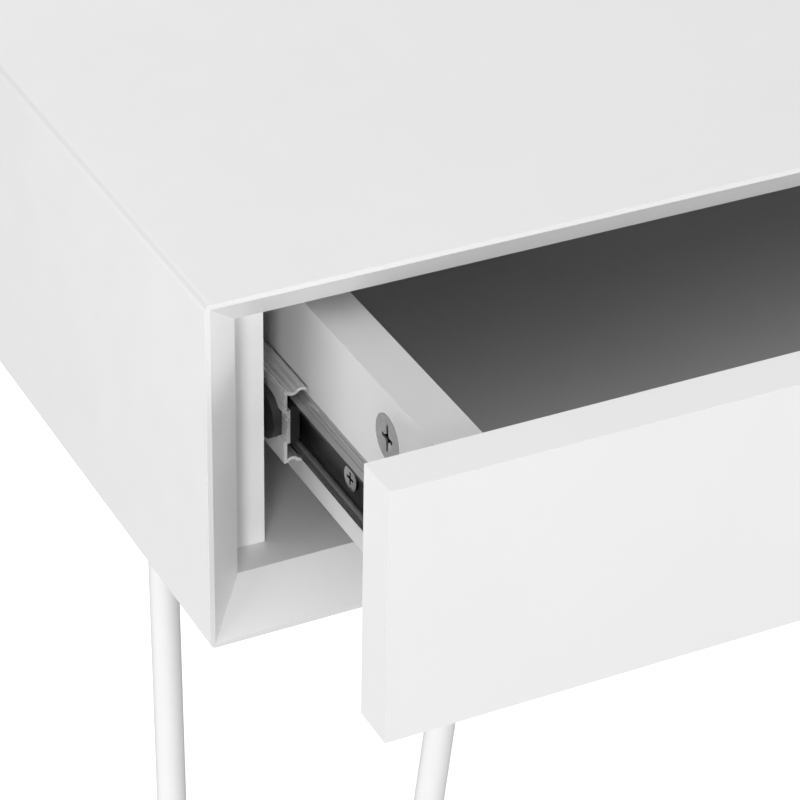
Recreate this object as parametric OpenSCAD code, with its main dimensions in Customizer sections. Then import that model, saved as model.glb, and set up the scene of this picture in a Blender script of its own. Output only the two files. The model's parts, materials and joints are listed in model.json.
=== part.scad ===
// Writing desk: a mitred box on four hairpin legs, with two full-extension drawers.
// +X is the sitter's right, +Y the back, +Z up, in millimetres. The origin is on the floor,
// under the middle of the desk as it stands with its left drawer pulled a little way out.

/* [Desk] */
// Overall width
desk_w = 1200; // [1000:10:1600]
// Depth of the box, front edge to back face
desk_d = 550; // [500:10:700]
// Height of the desktop above the floor
desk_h = 750; // [700:5:780]
// Height of the box that holds the drawers
box_h = 120; // [120:1:140]
// Thickness of the lacquered boards
board_t = 15; // [15:0.5:18]
// How far back the bevel on the front edges runs, at 45 degrees from a narrow flat
bevel_d = 13.4; // [8:0.2:14]
// Rounding of the long outer corners
corner_r = 2; // [1:0.5:4]
// Thickness of the packing board that brings an outer slide clear of the bevel
packing_t = 14.5; // [12:0.5:20]
// How far the packing and centre boards stand behind the front edge
packing_back = 25.5; // [25:0.5:40]

/* [Drawers] */
// Gap between a drawer front and the box
front_gap = 2.4; // [1:0.1:4]
// Gap between the two drawer fronts
centre_gap = 3; // [2:0.5:6]
// Thickness of a drawer front
front_t = 15.5; // [15:0.5:16]
// How far a closed drawer front stands behind the front edge
front_back = 9; // [2:0.5:9]
// Thickness of the drawer's sides and back
side_t = 15; // [12:0.5:16]
// Height of the drawer's sides
side_h = 64; // [60:1:66]
// Length of the drawer's sides
side_len = 400; // [380:10:440]
// Distance from the desktop down to the top of the drawer's sides
side_drop = 22; // [20:1:24]
// Thickness of the drawer's bottom panel
bottom_t = 4; // [3:0.5:6]
// How far the left drawer stands open
left_open = 92; // [0:1:350]
// How far the right drawer stands open
right_open = 0; // [0:1:350]

/* [Slides] */
// Closed length of a slide
slide_len = 350; // [350:10:370]
// Width of a slide, from the box's wall to the drawer's side
slide_w = 12.7; // [12.7:0.1:13.5]
// Distance from the desktop down to the slide's middle
slide_drop = 62.3; // [58:0.1:64]
// Length of the middle member
middle_len = 303; // [280:1:303]
// Diameter of the balls
ball_d = 3.1; // [2.8:0.1:3.1]

/* [Legs] */
// Diameter of the bent rod
rod_d = 10; // [8:0.5:12]
// Distance of each rod's top from the nearer side of the box
rod_near = 26; // [22:1:34]
// Distance of each rod's top from the farther side of the box
rod_far = 101; // [90:1:120]
// Distance of the foot from both outer sides of the box
foot_in = 5; // [0:1:30]
// Radius of the bend at the foot, to the rod's middle
bend_r = 14; // [12:1:20]
// Thickness of the mounting plate
plate_t = 4; // [3:0.5:6]

/* [Hidden] */
$fn = 48;

LEFT = -1;
RIGHT = 1;
FRONT = -1;
BACK = 1;
SIDES = [LEFT, RIGHT];
eps = 0.05;
over = 2;

// Where the box stands: the origin is under the middle of all of it, pads and open drawer
pad_w = rod_d + 7;
pad_out = max(0, bend_r / sqrt(2) + pad_w / 2 - foot_in);
stand_out = max(pad_out, left_open - front_back, right_open - front_back);
front_y = -(desk_d + pad_out - stand_out) / 2;
back_y = front_y + desk_d;
top_z = desk_h;
box_z = desk_h - box_h;
front_flat = board_t - bevel_d;
half_w = desk_w / 2;
inner_w = desk_w - 2 * board_t;
inner_h = box_h - 2 * board_t;
packing_y = front_y + packing_back;
packing_len = desk_d - packing_back - board_t;

// Closed drawer
front_y0 = front_y + front_back;
side_y0 = front_y0 + front_t;
side_z0 = top_z - side_drop - side_h;
bottom_z = side_z0 + 6;
groove_d = 5;
cam_d = 15;
cam_depth = 12.5;
cam_back = 35.5;
cam_z = top_z - 37;
bolt_d = 6;
bolt_in_front = 9;
box_screw_d = 4.5;

// Slide: u runs from the box's wall to the drawer's side, w up and down from its middle.
// The members are bent sheet. A race curves round its balls, so the middle member's edge is
// an S: under the outer balls, then over the inner ones
slide_z = top_z - slide_drop;
steel_t = 1;
cabinet_h = 17.5;
middle_u = 4.7;
middle_h = 12.8;
drawer_h = 9.8;
race_r = ball_d / 2 + eps;
race_step = 3;
outer_race = [7.4, 13.5];
inner_race = [outer_race[0] + race_step,
              outer_race[1] - sqrt(pow(2 * race_r + steel_t, 2) - pow(race_step, 2))];
turn_angle = acos(race_step / (2 * race_r + steel_t));
rib_h = 5.9;
rib_step = 1;
cage_t = 0.5;
outer_cage_u = 2.5;
inner_cage_u = 6.95;
outer_cage_len = 100;
inner_cage_len = 90;
ball_pitch = 11;
slide_y0 = packing_y + 24.5;
middle_y0 = slide_y0 + 17;
outer_cage_y0 = slide_y0 + 92;
inner_cage_y0 = slide_y0 + 120;
slide_screw_d = 4;
slide_screw_head = 0.9;
slide_screw_head_d = 8;
slide_screw_places = [30, 126, 286];

// Bumper at the front of a middle member: a pad on the wall side, a head on the drawer side
pad_u = 2.4;
pad_y = 2.5;
pad_len = 20;
pad_half = 8;
window_y = 4;
window_len = 5;
window_half = 3.2;
head_y = 0.8;
head_len = 8.7;
head_w = 3.5;
head_half = 6.6;

// Leg, in its own plane: across, and down from the plate. The bend runs a degree or so into
// the rods, and is a hair thinner, so that the three meet cleanly
pad_base = 4;
pad_h = 9;
rod_r = rod_d / 2;
leg_mid = (rod_near + rod_far) / 2;
half_span = (rod_far - rod_near) / sqrt(2);
drop = box_z - plate_t - pad_base - rod_r;
bend_lap = 1.5;
lean = (leg_mid - foot_in) * sqrt(2);
lean_angle = atan(lean / drop);
bend_depth = drop / cos(lean_angle) - bend_r;
reach = sqrt(pow(half_span, 2) + pow(bend_depth, 2));
rod_len = sqrt(pow(reach, 2) - pow(bend_r, 2));
rod_angle = acos(bend_r / reach) - atan(bend_depth / half_span);
leg_holes = [[26, 50], [50, 26], [26, 26], [26, 74], [74, 26]];
leg_screw_d = 4.5;
leg_screw_head = 8.5;

function open_of(bay) = bay == LEFT ? left_open : right_open;
function wall_x(bay, side) = bay == side ? bay * (half_w - board_t - packing_t) : bay * board_t;

// --- Placing -------------------------------------------------------------------------------

// Lays a profile drawn across (x) and up (y) along the Y axis
module along_y(length) {
    translate([0, length, 0]) rotate([90, 0, 0]) linear_extrude(length) children();
}

// A cylinder along X
module pin_x(d, length) {
    rotate([0, 90, 0]) cylinder(d = d, h = length);
}

// A cylinder along Y
module pin_y(d, length) {
    rotate([-90, 0, 0]) cylinder(d = d, h = length);
}

// Puts things against one wall of a bay, with x running into the bay
module at_wall(bay, side) {
    translate([wall_x(bay, side), 0, 0]) mirror([side == RIGHT ? 1 : 0, 0, 0]) children();
}

// Moves things out with a bay's drawer, by a share of its travel
module pulled(bay, share = 1) {
    translate([0, -share * open_of(bay), 0]) children();
}

// Puts things under one corner of the box, with x and y running in under it
module at_corner(end, side) {
    translate([side * half_w, end == FRONT ? front_y : back_y, box_z])
        mirror([side == RIGHT ? 1 : 0, 0, 0]) mirror([0, end == BACK ? 1 : 0, 0]) children();
}

// --- Box -----------------------------------------------------------------------------------

// Outline of the box seen from the front
module box_outline() {
    for (inset = [[0, corner_r], [corner_r, 0]])
        translate([-half_w + inset[0], box_z + inset[1]])
            square([desk_w - 2 * inset[0], box_h - 2 * inset[1]]);
    for (x = SIDES, z = [box_z + corner_r, top_z - corner_r])
        translate([x * (half_w - corner_r), z]) circle(corner_r);
}

// One mitred board, top or bottom, with its front edge bevelled inwards
module flat_board(up) {
    outer_z = up > 0 ? top_z : box_z;
    difference() {
        translate([0, front_y, 0]) along_y(desk_d) intersection() {
            box_outline();
            polygon([[-half_w, outer_z], [half_w, outer_z],
                     [half_w - board_t, outer_z - up * board_t],
                     [-half_w + board_t, outer_z - up * board_t]]);
        }
        translate([-half_w - over, front_y, outer_z - up * front_flat]) rotate([90, 0, 90])
            linear_extrude(desk_w + 2 * over)
                polygon([[0, 0], [bevel_d + over, -up * (bevel_d + over)],
                         [-over, -up * (bevel_d + over)], [-over, up * over]]);
    }
}

// One mitred upright board, left or right, with the same bevel
module upright_board(side) {
    difference() {
        translate([0, front_y, 0]) along_y(desk_d) intersection() {
            box_outline();
            polygon([[side * half_w, box_z], [side * half_w, top_z],
                     [side * (half_w - board_t), top_z - board_t],
                     [side * (half_w - board_t), box_z + board_t]]);
        }
        translate([side * (half_w - front_flat), front_y, box_z - over])
            linear_extrude(box_h + 2 * over)
                polygon([[0, 0], [-side * (bevel_d + over), bevel_d + over],
                         [-side * (bevel_d + over), -over], [side * over, -over]]);
    }
}

module top_panel() {
    color("white") flat_board(1);
}

module bottom_panel() {
    color("white") difference() {
        flat_board(-1);
        leg_screw_holes();
        centre_screws(2 * eps);
    }
}

module side_panel(side) {
    color("white") difference() {
        upright_board(side);
        packing_screws(side, eps);
    }
}

module back_panel() {
    color("white") translate([-inner_w / 2, back_y - board_t, box_z + board_t])
        cube([inner_w, board_t, inner_h]);
}

// Board that an outer slide is fixed to
module packing_board(side) {
    color("gainsboro") difference() {
        translate([side == LEFT ? -inner_w / 2 : inner_w / 2 - packing_t, packing_y,
                   box_z + board_t])
            cube([packing_t, packing_len, inner_h]);
        packing_screws(side, eps);
        at_wall(side, side) cabinet_screw_places() cabinet_screw(2 * eps);
    }
}

// One of the two boards between the bays
module centre_board(side) {
    color("gainsboro") difference() {
        translate([side == LEFT ? -board_t : 0, packing_y, box_z + board_t])
            cube([board_t, packing_len, inner_h]);
        centre_screws(2 * eps);
        at_wall(side, -side) cabinet_screw_places() cabinet_screw(2 * eps);
    }
}

// Countersunk screw pointing along +X from its head's face at 0
module box_screw(length, grow = 0) {
    pin_x(box_screw_d + grow, length);
    rotate([0, 90, 0]) cylinder(d1 = 8 + grow, d2 = box_screw_d + grow, h = 3);
}

// The screws that hold a packing board to its side panel
module packing_screws(side, grow = 0) {
    for (y = [60, 250, 440])
        translate([side * (inner_w / 2 - packing_t), packing_y + y, top_z - 32])
            mirror([side == LEFT ? 1 : 0, 0, 0]) box_screw(26, grow);
}

// The screws that come up through the bottom panel into the centre boards
module centre_screws(grow = 0) {
    for (side = SIDES, y = [40, 245, 450])
        translate([side * board_t / 2, packing_y + y, box_z]) rotate([0, -90, 0])
            box_screw(40, grow);
}

module box_screws() {
    color("silver") {
        for (side = SIDES) packing_screws(side);
        centre_screws();
    }
}

// --- Legs ----------------------------------------------------------------------------------

// Axes of one leg's own plane, under the middle of its plate
module in_leg_plane() {
    translate([leg_mid, leg_mid, -plate_t]) rotate([0, 0, -45]) rotate([-lean_angle, 0, 0])
        children();
}

// The bent rod: two straight legs and the bend at the foot
module bent_rod(d) {
    difference() {
        in_leg_plane() {
            for (x = SIDES)
                translate([x * half_span, 0, 0]) rotate([0, 180 + x * rod_angle, 0])
                    translate([0, 0, -12]) cylinder(d = d, h = rod_len + 12);
            translate([0, 0, -bend_depth]) rotate([90, 0, 0])
                rotate([0, 0, 180 + rod_angle - bend_lap])
                    rotate_extrude(angle = 180 - 2 * rod_angle + 2 * bend_lap)
                        translate([bend_r, 0]) circle(d = d - 0.1);
        }
        translate([-50, -50, -plate_t]) cube([300, 300, 30]);
    }
}

module leg_rod(end, side) {
    color("white") at_corner(end, side) bent_rod(rod_d);
}

// Corner plate with a hole for each screw
module leg_plate() {
    reach_in = rod_far + 14;
    translate([0, 0, -plate_t]) linear_extrude(plate_t) difference() {
        polygon([[18, 12], [reach_in - 6, 12], [reach_in, 18], [reach_in, 36],
                 [36, reach_in], [18, reach_in], [12, reach_in - 6], [12, 18]]);
        for (p = leg_holes) translate(p) circle(d = leg_screw_d + 0.4);
    }
}

module leg_plates() {
    color("white") for (end = [FRONT, BACK], side = SIDES) at_corner(end, side) leg_plate();
}

// One pan-head screw, up through a plate
module leg_screw(grow = 0) {
    translate([0, 0, -plate_t - eps]) cylinder(d = leg_screw_d + grow, h = plate_t + 11);
    difference() {
        translate([0, 0, -plate_t - 2.2]) cylinder(d1 = 6, d2 = leg_screw_head, h = 2.2);
        if (grow == 0) for (a = [0, 90])
            translate([0, 0, -plate_t - 2.2]) rotate([0, 0, a]) cube([4.6, 1, 2.4], center = true);
    }
}

module all_leg_screws(grow = 0) {
    for (end = [FRONT, BACK], side = SIDES, p = leg_holes)
        at_corner(end, side) translate([p[0], p[1], 0]) leg_screw(grow);
}

module leg_screw_holes() {
    all_leg_screws(2 * eps);
}

module leg_screws() {
    color("silver") all_leg_screws();
}

// Clip-on pads under the four bends
module floor_pads() {
    color("dimgray") for (end = [FRONT, BACK], side = SIDES) at_corner(end, side)
        difference() {
            translate([foot_in, foot_in, -box_z]) rotate([0, 0, -45]) linear_extrude(pad_h) {
                square([bend_r * 2, pad_w], center = true);
                for (x = SIDES) translate([x * bend_r, 0]) circle(d = pad_w);
            }
            bent_rod(rod_d + 4 * eps);
        }
}

// --- Slides --------------------------------------------------------------------------------

// Both halves of a profile, above and below the slide's middle
module both_halves() {
    children();
    mirror([0, 1]) children();
}

// Sheet bent round the balls at one race, from angle a0 to a1
module bent_sheet(at, a0, a1) {
    far = 2 * (race_r + steel_t);
    translate(at) intersection() {
        difference() {
            circle(race_r + steel_t);
            circle(race_r);
        }
        polygon(concat([[0, 0]], [for (i = [0 : 4]) let(a = a0 + (a1 - a0) * i / 4)
            [far * cos(a), far * sin(a)]]));
    }
}

// A point at an angle round a race, just under the sheet's inner face (0) or outer face (1)
function race_point(at, a, face) =
    let(r = race_r + (face == 0 ? eps : steel_t - eps)) [at[0] + r * cos(a), at[1] + r * sin(a)];

// Profile of the cabinet member, open towards the drawer
module cabinet_profile() {
    step_u = outer_race[0] - 2.6;
    translate([0, -cabinet_h]) square([steel_t, 2 * cabinet_h]);
    both_halves() {
        translate([0, cabinet_h - steel_t]) square([step_u, steel_t]);
        translate([step_u - 0.4, cabinet_h - steel_t / 2]) rotate(-38)
            translate([0, -0.45]) square([2.7, 0.9]);
        bent_sheet(outer_race, 15, 118);
    }
}

// Profile of the middle member, with a shallow rib down its web
module middle_profile() {
    lip_angle = 40;
    both_halves() {
        translate([middle_u, rib_h]) square([steel_t, middle_h - rib_h]);
        translate([middle_u, rib_h - steel_t]) square([rib_step + steel_t, steel_t]);
        translate([middle_u, middle_h - steel_t])
            square([outer_race[0] - 1.9 - middle_u, steel_t]);
        bent_sheet(outer_race, 212, 360 - turn_angle);
        bent_sheet(inner_race, lip_angle, 180 - turn_angle);
    }
    translate([middle_u + rib_step, -rib_h]) square([steel_t, 2 * rib_h]);
}

// Profile of the drawer member, open towards the box's wall
module drawer_profile() {
    tail_u = 7.8;
    translate([slide_w - steel_t, -drawer_h]) square([steel_t, 2 * drawer_h]);
    both_halves() {
        bent_sheet(inner_race, 248, 330);
        polygon([race_point(inner_race, 252, 0), [tail_u, drawer_h - 1.2],
                 [tail_u, drawer_h - 1.2 - steel_t], race_point(inner_race, 252, 1)]);
    }
}

// The cabinet member's screw places, on the wall's face
module cabinet_screw_places() {
    for (y = slide_screw_places)
        translate([0, slide_y0 + y, slide_z]) children();
}

// A low-head screw with a cross recess, pointing along +X from its head's face at 0
module slide_screw(grow = 0) {
    translate([slide_screw_head, 0, 0]) pin_x(slide_screw_d + grow, steel_t + 12);
    if (grow == 0) difference() {
        pin_x(slide_screw_head_d, slide_screw_head);
        for (a = [0, 90]) rotate([a, 0, 0]) cube([1.3, 4.4, 0.9], center = true);
    }
}

module cabinet_screw(grow = 0) {
    translate([steel_t + slide_screw_head, 0, 0]) mirror([1, 0, 0]) slide_screw(grow);
}

module cabinet_member(bay, side) {
    color("silver") at_wall(bay, side) difference() {
        translate([0, slide_y0, slide_z]) along_y(slide_len) cabinet_profile();
        cabinet_screw_places() translate([-1, 0, 0]) pin_x(slide_screw_d + 0.6, 3);
        for (y = [70, 200])
            translate([-1, slide_y0 + y, slide_z]) pin_x(9, 3);
    }
}

module cabinet_slide_screws() {
    color("silver") for (bay = SIDES, side = SIDES)
        at_wall(bay, side) cabinet_screw_places() cabinet_screw();
}

module middle_member(bay, side) {
    color("silver") pulled(bay, 1 / 2) at_wall(bay, side) difference() {
        translate([0, middle_y0, slide_z]) along_y(middle_len) middle_profile();
        for (y = [40, 100, 215])
            translate([middle_u, middle_y0 + y, slide_z]) pin_x(7, 3);
        translate([middle_u - 1, middle_y0 + window_y, slide_z - window_half])
            cube([4, window_len, 2 * window_half]);
    }
}

// Nylon bumper snapped into the front of a middle member: a round-nosed pad that fills the rib
// on the wall side, a neck through the window in the web, and a head inside the member
module bumper(bay, side) {
    lap = 0.5;
    fit = 0.1;
    rib_half = rib_h - steel_t - fit;
    rib_u = middle_u + rib_step;
    head_u = rib_u + steel_t;
    cap_r = head_w / 2;
    color("black") pulled(bay, 1 / 2) at_wall(bay, side) translate([0, middle_y0, slide_z]) {
        translate([pad_u, pad_y, 0]) rotate([90, 0, 90]) linear_extrude(middle_u - pad_u) {
            translate([pad_half, 0]) circle(pad_half);
            translate([pad_half, -pad_half]) square([pad_len - pad_half, 2 * pad_half]);
        }
        translate([middle_u - lap, window_y, -rib_half])
            cube([rib_step + lap, pad_y + pad_len - window_y, 2 * rib_half]);
        translate([rib_u - lap, window_y + fit, -window_half + fit])
            cube([steel_t + 2 * lap, window_len - 2 * fit, 2 * (window_half - fit)]);
        translate([0, head_y, 0]) along_y(head_len) {
            translate([head_u, cap_r - head_half]) square([head_w, 2 * (head_half - cap_r)]);
            for (half = [-1, 1])
                translate([head_u + cap_r, half * (head_half - cap_r)]) circle(cap_r);
        }
    }
}

// A strip with a bent edge above and below that keeps the balls apart, and its balls
module ball_cage(u, race_at, length, first_y) {
    count = floor((length - 6) / ball_pitch);
    flange_end = race_at[0] + 1.3 + cage_t / 2;
    difference() {
        translate([0, first_y, slide_z]) along_y(length) {
            translate([u, -race_at[1] - cage_t / 2])
                square([cage_t, 2 * race_at[1] + cage_t]);
            both_halves() translate([u, race_at[1] - cage_t / 2])
                square([flange_end - u, cage_t]);
        }
        for (i = [0 : count - 1], half = [-1, 1])
            translate([race_at[0], first_y + 8 + i * ball_pitch,
                       slide_z + half * race_at[1] - 1])
                cylinder(d = ball_d + 0.3, h = 2);
    }
    for (i = [0 : count - 1], half = [-1, 1])
        translate([race_at[0], first_y + 8 + i * ball_pitch, slide_z + half * race_at[1]])
            sphere(d = ball_d);
}

module outer_cage(bay, side) {
    color("goldenrod") pulled(bay, 1 / 4) at_wall(bay, side)
        ball_cage(outer_cage_u, outer_race, outer_cage_len, outer_cage_y0);
}

module inner_cage(bay, side) {
    color("goldenrod") pulled(bay, 3 / 4) at_wall(bay, side)
        ball_cage(inner_cage_u, inner_race, inner_cage_len, inner_cage_y0);
}

// The drawer member's screw places, on the drawer side's outer face
module drawer_screw_places() {
    for (y = slide_screw_places)
        translate([slide_w, slide_y0 + y, slide_z]) children();
}

module drawer_screw(grow = 0) {
    translate([-steel_t - slide_screw_head, 0, 0]) slide_screw(grow);
}

module drawer_slide_member(bay, side) {
    color("silver") pulled(bay) at_wall(bay, side) difference() {
        translate([0, slide_y0, slide_z]) along_y(slide_len) drawer_profile();
        drawer_screw_places() translate([-2, 0, 0]) pin_x(slide_screw_d + 0.6, 3);
    }
}

module drawer_slide_screws(bay) {
    color("silver") pulled(bay) for (side = SIDES)
        at_wall(bay, side) drawer_screw_places() drawer_screw();
}

// --- Drawers -------------------------------------------------------------------------------

// The bottom panel's edge, all the way round, a little thicker for its groove
module bottom_slab(bay, grow = 0) {
    left_x = wall_x(bay, LEFT) + slide_w + side_t - groove_d + 0.5;
    right_x = wall_x(bay, RIGHT) - slide_w - side_t + groove_d - 0.5;
    first_y = side_y0 - groove_d + 0.5;
    last_y = side_y0 + side_len - side_t + groove_d - 0.5;
    translate([left_x - grow, first_y - grow, bottom_z - min(grow, eps)])
        cube([right_x - left_x + 2 * grow, last_y - first_y + 2 * grow,
              bottom_t + 2 * min(grow, eps)]);
}

module drawer_front(bay) {
    outer_x = half_w - board_t - front_gap;
    width = outer_x - centre_gap / 2;
    color("white") pulled(bay) difference() {
        translate([bay == LEFT ? -outer_x : centre_gap / 2, front_y0,
                   box_z + board_t + front_gap])
            cube([width, front_t, inner_h - 2 * front_gap]);
        bottom_slab(bay, 0.5);
        for (side = SIDES) at_wall(bay, side) cam_bolt(2 * eps);
    }
}

// The bolt that the cam pulls on: screwed into the front, its head inside the cam
module cam_bolt(grow = 0) {
    translate([slide_w + side_t / 2, side_y0, cam_z]) {
        translate([0, -bolt_in_front, 0]) pin_y(bolt_d + grow, cam_back - 4 + bolt_in_front);
        if (grow == 0) translate([0, cam_back - 5, 0]) pin_y(4, 3.5);
        if (grow == 0) translate([0, cam_back - 2, 0]) pin_y(6.5, 2);
    }
}

module drawer_cam_bolts(bay) {
    color("silver") pulled(bay) for (side = SIDES) at_wall(bay, side) cam_bolt();
}

// A zinc cam in the drawer side's outer face: a slotted face with a cross recess over a hollow
// drum
module cam_lock() {
    face_t = 3.2;
    slot_len = 9;
    slot_w = 1.1;
    arm_len = 6.6;
    arm_w = 1.3;
    recess = 2.4;
    translate([slide_w, side_y0 + cam_back, cam_z]) difference() {
        pin_x(cam_d - 0.2, cam_depth - 0.5);
        translate([face_t, 0, 0]) pin_x(9.4, 12);
        translate([side_t / 2, -3, 0]) rotate([90, 0, 0]) cylinder(d = 7.2, h = 6);
        cube([recess, slot_w, slot_len], center = true);
        translate([-1, 0, 0]) pin_x(2.2 * arm_w, 1 + recess);
        for (a = [0, 90])
            rotate([a, 0, 0]) cube([2 * recess, arm_w, arm_len], center = true);
    }
}

module drawer_cam_locks(bay) {
    color("darkgray") pulled(bay) for (side = SIDES) at_wall(bay, side) cam_lock();
}

module drawer_side(bay, side) {
    color("white") pulled(bay) difference() {
        at_wall(bay, side) difference() {
            translate([slide_w, side_y0, side_z0]) cube([side_t, side_len, side_h]);
            translate([slide_w - 1, side_y0 + cam_back, cam_z])
                pin_x(cam_d + 0.2, cam_depth + 1);
            translate([slide_w + side_t / 2, side_y0 - 1, cam_z])
                pin_y(bolt_d + 1.5, cam_back - 3);
            drawer_screw_places() drawer_screw(2 * eps);
            back_screws(2 * eps);
        }
        bottom_slab(bay, 0.5);
    }
}

module drawer_back(bay) {
    left_x = wall_x(bay, LEFT) + slide_w + side_t;
    right_x = wall_x(bay, RIGHT) - slide_w - side_t;
    color("white") pulled(bay) difference() {
        translate([left_x, side_y0 + side_len - side_t, side_z0])
            cube([right_x - left_x, side_t, side_h]);
        bottom_slab(bay, 0.5);
        for (side = SIDES) at_wall(bay, side) back_screws(2 * eps);
    }
}

module drawer_bottom(bay) {
    color("dimgray") pulled(bay) bottom_slab(bay);
}

// Countersunk screws through a drawer's side into its back
module back_screws(grow = 0) {
    for (z = [16, 48])
        translate([slide_w, side_y0 + side_len - side_t / 2, side_z0 + z])
            box_screw(38, grow);
}

module drawer_back_screws(bay) {
    color("silver") pulled(bay) for (side = SIDES) at_wall(bay, side) back_screws();
}

// --- All of it -----------------------------------------------------------------------------

top_panel();
bottom_panel();
side_panel(LEFT);  // left_side_panel
side_panel(RIGHT);  // right_side_panel
back_panel();
packing_board(LEFT);  // left_packing_board
packing_board(RIGHT);  // right_packing_board
centre_board(LEFT);  // centre_board_left
centre_board(RIGHT);  // centre_board_right
box_screws();

leg_rod(FRONT, LEFT);  // front_left_leg_rod
leg_rod(FRONT, RIGHT);  // front_right_leg_rod
leg_rod(BACK, LEFT);  // back_left_leg_rod
leg_rod(BACK, RIGHT);  // back_right_leg_rod
leg_plates();
leg_screws();
floor_pads();

for (bay = SIDES, side = SIDES) {
    place = str(bay == LEFT ? "left" : "right", "_bay_", side == LEFT ? "left" : "right");
    cabinet_member(bay, side);
    middle_member(bay, side);
    bumper(bay, side);
    outer_cage(bay, side);
    inner_cage(bay, side);
}
cabinet_slide_screws();

for (bay = SIDES) {
    drawer = str(bay == LEFT ? "left" : "right", "_drawer");
    drawer_front(bay);
    drawer_side(bay, LEFT);
    drawer_side(bay, RIGHT);
    drawer_back(bay);
    drawer_bottom(bay);
    drawer_cam_locks(bay);
    drawer_cam_bolts(bay);
    drawer_back_screws(bay);
    drawer_slide_member(bay, LEFT);
    drawer_slide_member(bay, RIGHT);
    drawer_slide_screws(bay);
}
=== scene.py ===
"""The looks of a white writing desk with two drawers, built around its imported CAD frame."""

import json
from math import radians

import bpy
from mathutils import Matrix, Vector


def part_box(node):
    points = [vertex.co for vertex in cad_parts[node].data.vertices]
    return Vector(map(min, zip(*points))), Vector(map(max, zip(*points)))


MM = 0.001
SIDES = ("left", "right")

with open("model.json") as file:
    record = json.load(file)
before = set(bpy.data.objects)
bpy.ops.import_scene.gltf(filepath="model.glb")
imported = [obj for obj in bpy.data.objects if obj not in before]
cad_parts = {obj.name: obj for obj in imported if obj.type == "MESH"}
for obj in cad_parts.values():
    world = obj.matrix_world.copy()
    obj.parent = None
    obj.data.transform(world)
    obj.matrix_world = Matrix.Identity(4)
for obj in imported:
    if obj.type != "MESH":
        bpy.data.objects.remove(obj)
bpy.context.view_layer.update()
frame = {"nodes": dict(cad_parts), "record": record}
nodes = frame["nodes"]
scene = bpy.context.scene

# --- Camera --------------------------------------------------------------------------------

CAMERA_FROM_CORNER = Vector((-308.5, -727.3, 467.6)) * MM
CAMERA_YAW = radians(27.02)  # from straight back towards the right
CAMERA_PITCH = radians(32.26)  # downwards
CAMERA_ROLL = radians(1.12)
CAMERA_LENS = 146.3  # millimetres, for the sensor below
SENSOR = 36


def add_camera():
    """A long lens that looks down on the desktop's front left corner."""
    top_low, top_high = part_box("top_panel")
    side_low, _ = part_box("left_side_panel")
    corner = Vector((side_low.x, top_low.y, top_high.z))
    data = bpy.data.cameras.new("camera")
    data.lens = CAMERA_LENS
    data.sensor_width = SENSOR
    data.clip_start = 0.05
    data.clip_end = 60
    camera = bpy.data.objects.new("camera", data)
    turn = (
        Matrix.Rotation(-CAMERA_YAW, 4, "Z")
        @ Matrix.Rotation(radians(90) - CAMERA_PITCH, 4, "X")
        @ Matrix.Rotation(CAMERA_ROLL, 4, "Z")
    )
    camera.matrix_world = Matrix.Translation(corner + CAMERA_FROM_CORNER) @ turn
    scene.collection.objects.link(camera)
    scene.camera = camera


# --- Materials -----------------------------------------------------------------------------

# Sockets of a Mix node that mixes colours
MIX_FACTOR = 0
MIX_FIRST = 6
MIX_SECOND = 7
MIX_RESULT = 2


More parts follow.
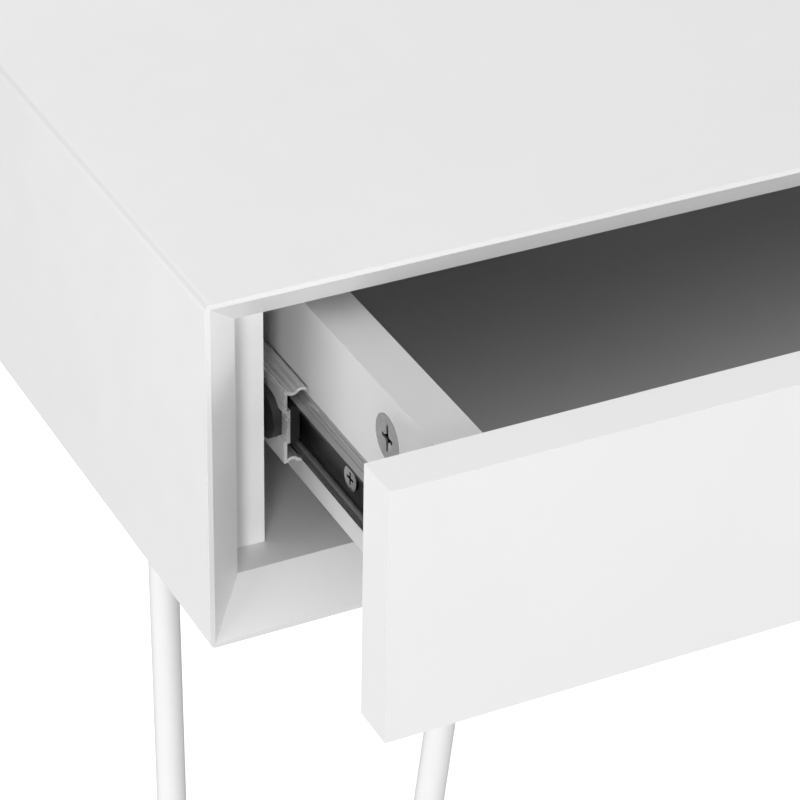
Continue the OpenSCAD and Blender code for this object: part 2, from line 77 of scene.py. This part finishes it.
class Nodes:
    """A short way to write a material's node tree."""

    def __init__(self, name):
        self.material = bpy.data.materials.new(name)
        self.material.use_nodes = True
        self.tree = self.material.node_tree
        self.shader = self.tree.nodes["Principled BSDF"]
        where = self.add("ShaderNodeTexCoord")
        self.place = where.outputs["Object"]
        self.facing = where.outputs["Normal"]

    def add(self, kind, **settings):
        node = self.tree.nodes.new(kind)
        for key, value in settings.items():
            setattr(node, key, value)
        return node

    def link(self, out, into):
        self.tree.links.new(out, into)

    def colour(self, out):
        self.link(out, self.shader.inputs["Base Color"])

    def roughness(self, out):
        self.link(out, self.shader.inputs["Roughness"])

    def set(self, **values):
        for key, value in values.items():
            self.shader.inputs[key.replace("_", " ")].default_value = value

    def scaled(self, x, y, z):
        mapping = self.add("ShaderNodeMapping")
        mapping.inputs["Scale"].default_value = (x, y, z)
        self.link(self.place, mapping.inputs["Vector"])
        return mapping.outputs["Vector"]

    def noise(self, scale, detail=3, roughness=0.55, stretch=(1, 1, 1)):
        node = self.add("ShaderNodeTexNoise")
        node.inputs["Scale"].default_value = scale
        node.inputs["Detail"].default_value = detail
        node.inputs["Roughness"].default_value = roughness
        where = self.place if stretch == (1, 1, 1) else self.scaled(*stretch)
        self.link(where, node.inputs["Vector"])
        return node.outputs["Fac"]

    def span(self, value, low, high, from_low=0.3, from_high=0.7):
        node = self.add("ShaderNodeMapRange")
        node.inputs["From Min"].default_value = from_low
        node.inputs["From Max"].default_value = from_high
        node.inputs["To Min"].default_value = low
        node.inputs["To Max"].default_value = high
        self.link(value, node.inputs["Value"])
        return node.outputs["Result"]

    def greys(self, value, dark, light):
        """A ramp from one grey to another over the middle of a noise's range."""
        node = self.add("ShaderNodeValToRGB")
        first, last = node.color_ramp.elements
        first.position = 0.3
        last.position = 0.7
        first.color = (dark, dark, dark, 1)
        last.color = (light, light, light, 1)
        self.link(value, node.inputs["Fac"])
        return node.outputs["Color"]

    def parts(self, vector):
        """The X, Y and Z of a place or of a direction."""
        node = self.add("ShaderNodeSeparateXYZ")
        self.link(vector, node.inputs["Vector"])
        return [node.outputs[axis] for axis in "XYZ"]

    def less(self, value, amount):
        node = self.add("ShaderNodeMath", operation="SUBTRACT")
        self.link(value, node.inputs[0])
        node.inputs[1].default_value = amount
        return node.outputs[0]

    def product(self, first, second):
        node = self.add("ShaderNodeMath", operation="MULTIPLY")
        self.link(first, node.inputs[0])
        self.link(second, node.inputs[1])
        return node.outputs[0]

    def size(self, value):
        """A value without its sign."""
        node = self.add("ShaderNodeMath", operation="ABSOLUTE")
        self.link(value, node.inputs[0])
        return node.outputs[0]

    def mix(self, factor, first, second):
        node = self.add("ShaderNodeMix", data_type="RGBA")
        self.link(factor, node.inputs[MIX_FACTOR])
        self.link(first, node.inputs[MIX_FIRST])
        self.link(second, node.inputs[MIX_SECOND])
        return node.outputs[MIX_RESULT]

    def bump(self, *layers):
        """Layers of (height, distance in metres, strength), one on the other."""
        normal = None
        for height, distance, strength in layers:
            node = self.add("ShaderNodeBump")
            node.inputs["Distance"].default_value = distance
            node.inputs["Strength"].default_value = strength
            self.link(height, node.inputs["Height"])
            if normal is not None:
                self.link(normal, node.inputs["Normal"])
            normal = node.outputs["Normal"]
        self.link(normal, self.shader.inputs["Normal"])


def lacquer(name, base, spread=0.012, roughness=0.42, painted_edge_shading=False):
    """Satin sprayed lacquer: a faint orange peel, and the least unevenness of tone.

    With this switch on, the tone follows the way a face points: painted shade greys the
    rounded corners, and painted light whitens the bevels at the top and the sides. It makes up
    for light that this studio doesn't give, so that the box reads as in the picture. The real
    coat is taken to be one white.
    """
    m = Nodes(name)
    coat = m.greys(m.noise(7, 4), base - spread, base + spread)
    if painted_edge_shading:
        # Painted shade greys the rounded corners; painted light whitens the top and side
        # bevels.
        x, y, z = m.parts(m.facing)
        corner = m.span(m.size(m.product(x, z)), 0, 1, 0.05, 0.45)
        side_bevel = m.span(m.size(m.product(x, y)), 0, 1, 0.2, 0.45)
        top_bevel = m.span(m.product(y, z), 0, 1, 0.2, 0.45)
        painted_corner_shade = m.greys(m.noise(9, 3), base - 0.2, base - 0.18)
        painted_bevel_light = m.greys(m.noise(9, 3), base + 0.12, base + 0.14)
        coat = m.mix(corner, coat, painted_corner_shade)
        coat = m.mix(side_bevel, coat, painted_bevel_light)
        coat = m.mix(top_bevel, coat, painted_bevel_light)
    m.colour(coat)
    m.roughness(m.span(m.noise(60, 4), roughness - 0.05, roughness + 0.05))
    m.bump((m.noise(420, 2), 0.06 * MM, 0.25), (m.noise(2600, 3), 0.02 * MM, 0.25))
    m.set(Coat_Weight=0.12, Coat_Roughness=0.3)
    return m.material


def zinc(name, base, roughness, opens_to=0, metallic=0.8):
    """Zinc-plated strip with faint draw lines along its length.

    A slide member that opens to +X (1) or -X (-1) is painted near black on the faces that look
    that way, as in the picture: painted shade in the channel. Taking that for grease is a
    guess.
    """
    m = Nodes(name)
    plate = m.greys(m.noise(40, 5, stretch=(1, 0.12, 1)), base - 0.06, base + 0.05)
    if opens_to:
        across, _, _ = m.parts(m.facing)
        # Painted shade: the faces that look the way the member opens are painted near black.
        shade_mask = m.span(across, 0, 1, 0.7 * opens_to, 0.96 * opens_to)
        painted_shade = m.greys(m.noise(90, 4, stretch=(1, 0.1, 1)), 0.008, 0.03)
        plate = m.mix(shade_mask, plate, painted_shade)
    m.colour(plate)
    streaks = m.noise(160, 4, stretch=(1, 0.03, 1))
    m.roughness(m.span(streaks, roughness - 0.06, roughness + 0.1))
    m.bump((m.noise(900, 2, stretch=(1, 0.02, 1)), 0.02 * MM, 0.4))
    m.set(Metallic=metallic)
    return m.material


def plain_metal(name, base, roughness, grain, faces=None):
    """Small plated or cast fittings.

    Where they sit in pairs whose faces look out to both sides, faces gives the low and high X
    of those faces and how far below them the recess for the driver is painted dark, as painted
    shade.
    """
    m = Nodes(name)
    metal = m.greys(m.noise(grain, 5), base - 0.06, base + 0.05)
    if faces:
        low, high, depth = faces
        half = (high - low) / 2
        across, _, _ = m.parts(m.place)
        reach = m.size(m.less(across, (high + low) / 2))
        # Painted shade: the driver's recess is painted near black below the given depth.
        recess = m.span(reach, 1, 0, half - depth, half - depth / 2)
        metal = m.mix(recess, metal, m.greys(m.noise(400, 3), 0.03, 0.07))
    m.colour(metal)
    m.roughness(m.span(m.noise(grain * 3, 4), roughness - 0.07, roughness + 0.09))
    m.bump((m.noise(grain * 5, 3), 0.03 * MM, 0.4))
    m.set(Metallic=1.0)
    return m.material


def faced_board(name, base):
    """Grey melamine-faced bottom panel: smooth, with a very fine grain."""
    m = Nodes(name)
    m.colour(m.greys(m.noise(900, 4), base - 0.006, base + 0.006))
    m.roughness(m.span(m.noise(30, 4), 0.42, 0.52))
    m.bump((m.noise(1800, 3), 0.03 * MM, 0.35))
    return m.material


def powder_coat(name, base):
    """White powder coat: the finest pebbling, a little glossier than the boards."""
    m = Nodes(name)
    m.colour(m.greys(m.noise(14, 3), base - 0.01, base + 0.01))
    m.roughness(m.span(m.noise(200, 3), 0.3, 0.4))
    m.bump((m.noise(1500, 2), 0.04 * MM, 0.5))
    return m.material


def rubber(name, base, roughness=0.6):
    """Rubber or moulded nylon: matt, with a slight mottle and a fine moulded grain."""
    m = Nodes(name)
    m.colour(m.greys(m.noise(300, 4), base * 0.92, base * 1.08))
    m.roughness(m.span(m.noise(120, 3), roughness - 0.08, roughness + 0.08))
    m.bump((m.noise(2200, 3), 0.04 * MM, 0.5))
    return m.material


WHITE = 0.80

# The base tones are fitted to the picture's greys under this light, and none of them is the
# record's colour. The drawers' bottoms and the packing boards are lighter here, as painted
# light, and the drawers' boards darker, as painted shade.
MATERIALS = {
    "white_lacquer": lacquer("white_lacquer", WHITE),
    "raw_packing": lacquer("packing_board", 0.92, roughness=0.5),
    "drawer_board": lacquer("drawer_board", 0.58, spread=0.02, roughness=0.5),
    "grey_bottom": faced_board("grey_bottom", 0.43),
    "zinc_steel": zinc("zinc_steel", 0.5, 0.34),
    "cage_steel": zinc("cage_steel", 0.45, 0.34),
    "screw_steel": plain_metal("screw_steel", 0.66, 0.2, 150),
    "cam_zinc": plain_metal("cam_zinc", 0.58, 0.45, 220),
    "leg_paint": powder_coat("leg_paint", 0.78),
    "pad_rubber": rubber("pad_rubber", 0.45),
    "black_nylon": rubber("black_nylon", 0.018, 0.45),
}


def dress_cad():
    """Gives each CAD node the material of its slot in the record."""
    for part in frame["record"]["subparts"]:
        mesh = nodes[part["node"]].data
        mesh.materials.clear()
        mesh.materials.append(MATERIALS[part["material_slot"]])


def dress_box():
    """The four mitred panels, painted shade on their rounded corners, painted light on their
    bevels.
    """
    coat = lacquer("box_lacquer", WHITE, painted_edge_shading=True)
    for panel in ("top_panel", "bottom_panel", "left_side_panel", "right_side_panel"):
        nodes[panel].data.materials[0] = coat


# One zinc plating in three tones: the middle member is lighter, as painted light, and the
# drawer's member darker, as painted shade.
SLIDE_STEEL = {  # base tone and how metallic the plating looks
    "cabinet": (0.5, 0.7),
    "middle": (0.76, 0.55),
    "drawer": (0.42, 0.62),
}


def dress_slides():
    """Slide members: cabinet and middle members open to the drawer, its own to the wall."""
    for side, to_drawer in zip(SIDES, (1, -1)):
        steel = {}
        for member, (base, metallic) in SLIDE_STEEL.items():
            opens_to = -to_drawer if member == "drawer" else to_drawer
            steel[member] = zinc(f"{side}_{member}_steel", base, 0.28, opens_to, metallic)
        for bay in SIDES:
            nodes[f"{bay}_bay_{side}_cabinet_member"].data.materials[0] = steel["cabinet"]
            nodes[f"{bay}_bay_{side}_middle_member"].data.materials[0] = steel["middle"]
            nodes[f"{bay}_drawer_{side}_slide_member"].data.materials[0] = steel["drawer"]


# The dark in the driver's recess is painted shade.
FITTINGS = {  # base tone, roughness, grain, and the depth at which the recess turns dark
    "cam_locks": (0.62, 0.45, 220, 0.8 * MM),
    "slide_screws": (0.55, 0.16, 150, 0.3 * MM),
}


def dress_fittings():
    """Cam locks and slide screws sit in pairs that face left and right."""
    for bay in SIDES:
        for part, (base, roughness, grain, depth) in FITTINGS.items():
            name = f"{bay}_drawer_{part}"
            low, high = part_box(name)
            faces = (low.x, high.x, depth)
            metal = plain_metal(f"{name}_metal", base, roughness, grain, faces)
            nodes[name].data.materials[0] = metal


# --- Arrises -------------------------------------------------------------------------------

ARRIS = 0.3 * MM
BOARDS = ["top_panel", "bottom_panel", "left_side_panel", "right_side_panel", "back_panel",
          "left_packing_board", "right_packing_board", "centre_board_left",
          "centre_board_right"]
for bay in SIDES:
    BOARDS += [f"{bay}_drawer_{part}" for part in ("front", "left_side", "right_side", "back")]


def soften(node):
    """Rounds the arrises of a board, as sanding and lacquer do."""
    weld = nodes[node].modifiers.new("weld", "WELD")
    weld.merge_threshold = 0.02 * MM
    bevel = nodes[node].modifiers.new("arris", "BEVEL")
    bevel.width = ARRIS
    bevel.segments = 3
    bevel.limit_method = "ANGLE"
    bevel.angle_limit = radians(35)
    bevel.use_clamp_overlap = True
    bevel.harden_normals = True


# --- Light and floor -----------------------------------------------------------------------

FLOOR_SIZE = 14
FLOOR_GLOW = 0.9
GLOW_ABOVE = 0.76
GLOW_BELOW = 0.3
HORIZON = 0.15  # how far above and below the horizon the two run into each other
LIGHTS = [  # name, place, aim, width, height, power
    ("key", (-2.46, -3.05, 1.41), (-0.5, -0.25, 0.68), 0.7, 0.7, 48),
    ("left", (-3.8, -0.9, 1.5), (-0.6, 0, 0.7), 2.4, 1.6, 52),
    ("right_front", (2.4, -2.8, 1.2), (-0.4, -0.2, 0.7), 1.6, 1.6, 42),
    ("behind", (0.4, 3.8, 1.9), (0, 0, 0.7), 3.0, 1.8, 14),
]


def add_floor():
    """A white floor that the camera sees and that throws no light back on the desk."""
    mesh = bpy.data.meshes.new("floor")
    signs = ((-1, -1), (1, -1), (1, 1), (-1, 1))
    corners = [(x * FLOOR_SIZE, y * FLOOR_SIZE, 0) for x, y in signs]
    mesh.from_pydata(corners, [], [(0, 1, 2, 3)])
    floor = bpy.data.objects.new("floor", mesh)
    scene.collection.objects.link(floor)
    m = Nodes("floor")
    m.colour(m.greys(m.noise(3, 3), 0.34, 0.36))
    m.set(Roughness=0.7, Emission_Color=(1, 1, 1, 1), Emission_Strength=FLOOR_GLOW)
    mesh.materials.append(m.material)
    floor.visible_diffuse = False
    floor.visible_glossy = False


def add_light(name, place, aim, width, height, power):
    """A soft box that looks at a point on the desk."""
    data = bpy.data.lights.new(name, "AREA")
    data.shape = "RECTANGLE"
    data.size = width
    data.size_y = height
    data.energy = power
    light = bpy.data.objects.new(name, data)
    light.location = place
    light.rotation_euler = (Vector(aim) - Vector(place)).to_track_quat("-Z", "Y").to_euler()
    light.visible_camera = False
    scene.collection.objects.link(light)


def add_world():
    """A white room that is darker below the horizon than above it."""
    world = bpy.data.worlds.new("studio")
    world.use_nodes = True
    tree = world.node_tree
    direction = tree.nodes.new("ShaderNodeTexCoord").outputs["Generated"]
    split = tree.nodes.new("ShaderNodeSeparateXYZ")
    tree.links.new(direction, split.inputs["Vector"])
    blend = tree.nodes.new("ShaderNodeMapRange")
    blend.inputs["From Min"].default_value = -HORIZON
    blend.inputs["From Max"].default_value = HORIZON
    blend.inputs["To Min"].default_value = GLOW_BELOW
    blend.inputs["To Max"].default_value = GLOW_ABOVE
    tree.links.new(split.outputs["Z"], blend.inputs["Value"])
    background = tree.nodes["Background"]
    background.inputs["Color"].default_value = (1, 1, 1, 1)
    tree.links.new(blend.outputs["Result"], background.inputs["Strength"])
    scene.world = world


add_camera()
add_world()
add_floor()
for light in LIGHTS:
    add_light(*light)
scene.view_settings.view_transform = "Standard"
dress_cad()
dress_box()
dress_slides()
dress_fittings()
for board in BOARDS:
    soften(board)
